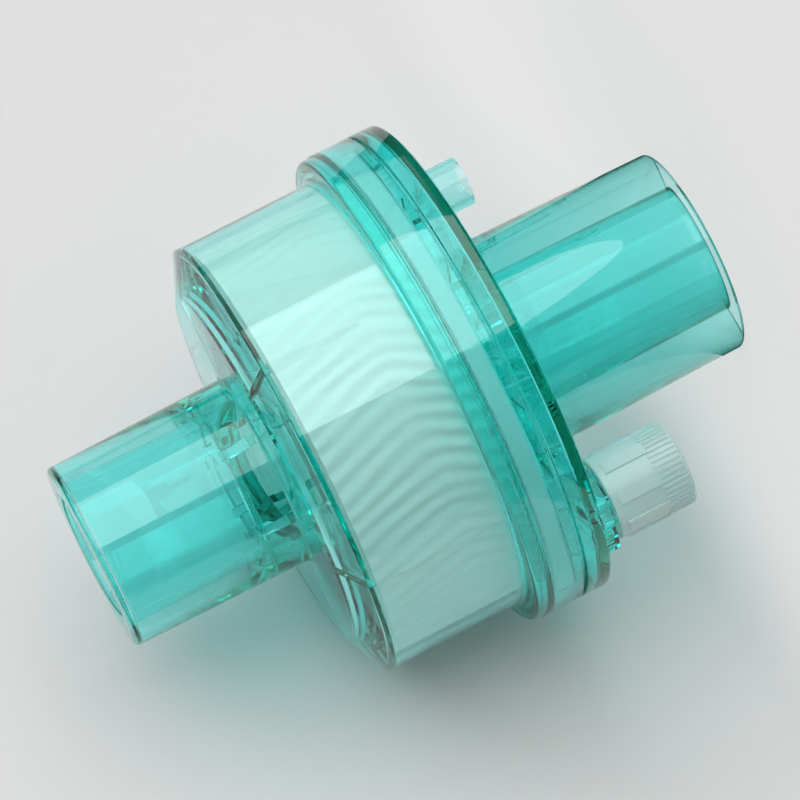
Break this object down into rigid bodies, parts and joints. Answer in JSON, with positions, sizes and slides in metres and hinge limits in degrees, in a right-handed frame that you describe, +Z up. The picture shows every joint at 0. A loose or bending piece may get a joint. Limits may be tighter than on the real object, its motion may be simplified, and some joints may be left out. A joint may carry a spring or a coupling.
{
  "type": "breathing circuit filter",
  "caption": "Clear heat and moisture exchanging filter for a breathing circuit: coaxial conical ports, paper roll, filter disc and a capped gas sampling port.",
  "frame": {"origin": "centre of the mouth of the machine port, on the plane that the filter stands on", "axes": "+Z up along the axis of both ports, from the machine port to the patient port; +X towards the gas sampling port"},
  "size_m": [0.0584, 0.0574, 0.0758],
  "materials": {
    "clear_teal_plastic": "clear glossy moulded plastic, teal tint",
    "white_filter_felt": "soft white non-woven felt",
    "white_fluted_paper": "matt white fluted paper, wound in a roll",
    "translucent_white_plastic": "milky translucent moulded plastic"
  },
  "bodies": {
    "housing": {"patient_housing": "clear_teal_plastic", "machine_housing": "clear_teal_plastic", "filter_membrane": "white_filter_felt", "hme_roll": "white_fluted_paper"},
    "cap": {"luer_cap": "translucent_white_plastic"}
  },
  "joints": [
    {"name": "cap_pull", "type": "slide", "parent": "housing", "child": "cap", "axis": [0, 0, -1], "range_m": [0, 0.0095]}
  ]
}
